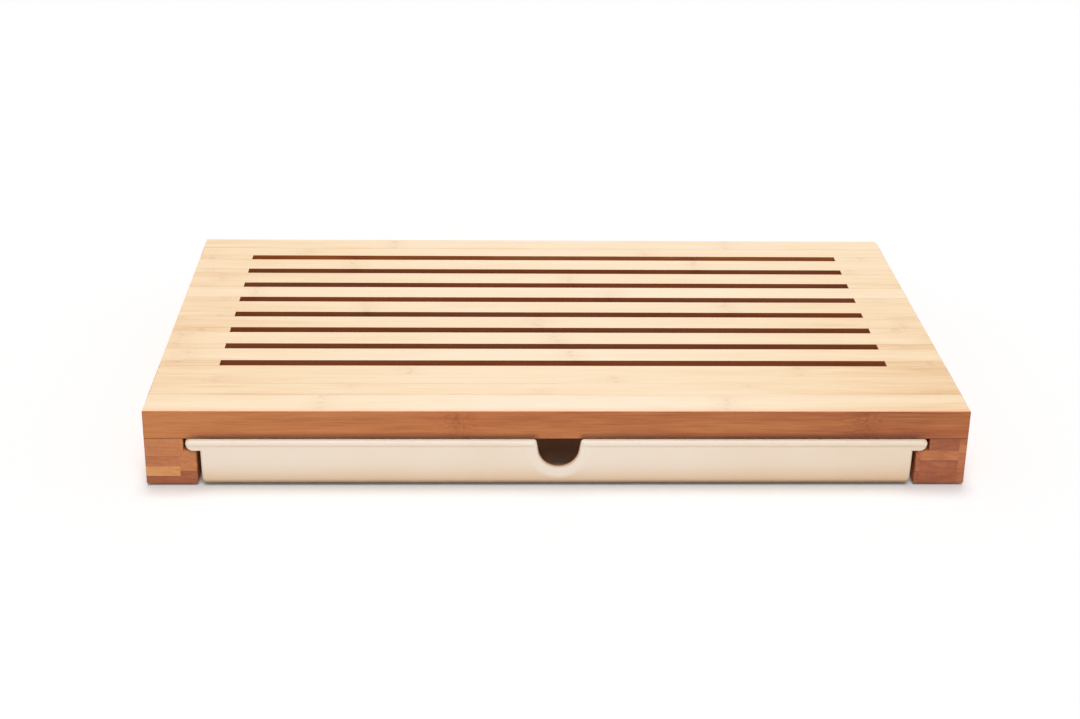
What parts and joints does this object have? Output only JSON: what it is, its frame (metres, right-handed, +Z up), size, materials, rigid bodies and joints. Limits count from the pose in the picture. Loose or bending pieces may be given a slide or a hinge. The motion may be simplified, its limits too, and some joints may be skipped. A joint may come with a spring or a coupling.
{
  "type": "bread board with crumb catcher",
  "caption": "Slotted bamboo bread board on two legs, with a plastic crumb tray that pulls out to the front by a finger notch.",
  "frame": {"origin": "on the surface that the board stands on, below the middle of the board and its tray", "axes": "+X along the board to the right end as seen from the front, +Y to the back, away from the tray's front, +Z up"},
  "size_m": [0.415, 0.2516, 0.0415],
  "materials": {
    "bamboo_top": "planed edge-glued bamboo, pale, lightly oiled, satin",
    "bamboo_leg": "planed laminated bamboo, lath ends showing, satin",
    "tray_plastic": "cream injection moulding, smooth, soft sheen",
    "pad_rubber": "thin matt non-slip pad"
  },
  "bodies": {
    "board": {"front_rail_outer_stave": "bamboo_top", "front_rail_inner_stave": "bamboo_top", "back_rail_inner_stave": "bamboo_top", "back_rail_outer_stave": "bamboo_top", "slat_1": "bamboo_top", "slat_2": "bamboo_top", "slat_3": "bamboo_top", "slat_4": "bamboo_top", "slat_5": "bamboo_top", "slat_6": "bamboo_top", "slat_7": "bamboo_top", "left_spacer_1": "bamboo_top", "left_spacer_2": "bamboo_top", "left_spacer_3": "bamboo_top", "left_spacer_4": "bamboo_top", "left_spacer_5": "bamboo_top", "left_spacer_6": "bamboo_top", "left_spacer_7": "bamboo_top", "left_spacer_8": "bamboo_top", "right_spacer_1": "bamboo_top", "right_spacer_2": "bamboo_top", "right_spacer_3": "bamboo_top", "right_spacer_4": "bamboo_top", "right_spacer_5": "bamboo_top", "right_spacer_6": "bamboo_top", "right_spacer_7": "bamboo_top", "right_spacer_8": "bamboo_top", "left_leg_outer_lath_1": "bamboo_leg", "left_leg_outer_lath_2": "bamboo_leg", "left_leg_outer_lath_3": "bamboo_leg", "left_leg_outer_lath_4": "bamboo_leg", "left_leg_outer_lath_5": "bamboo_leg", "left_leg_inner_lath_1": "bamboo_leg", "left_leg_inner_lath_2": "bamboo_leg", "left_leg_inner_lath_3": "bamboo_leg", "left_leg_inner_lath_4": "bamboo_leg", "right_leg_outer_lath_1": "bamboo_leg", "right_leg_outer_lath_2": "bamboo_leg", "right_leg_outer_lath_3": "bamboo_leg", "right_leg_outer_lath_4": "bamboo_leg", "right_leg_outer_lath_5": "bamboo_leg", "right_leg_middle_lath_1": "bamboo_leg", "right_leg_middle_lath_2": "bamboo_leg", "right_leg_middle_lath_3": "bamboo_leg", "right_leg_middle_lath_4": "bamboo_leg", "right_leg_inner_lath_1": "bamboo_leg", "right_leg_inner_lath_2": "bamboo_leg", "right_leg_inner_lath_3": "bamboo_leg", "rear_stop": "bamboo_leg", "front_left_pad": "pad_rubber", "front_right_pad": "pad_rubber", "back_left_pad": "pad_rubber", "back_right_pad": "pad_rubber"},
    "tray": {"crumb_tray": "tray_plastic"}
  },
  "joints": [
    {"name": "tray_slide", "type": "slide", "parent": "board", "child": "tray", "axis": [0, -1, 0], "range_m": [0, 0.23]}
  ]
}
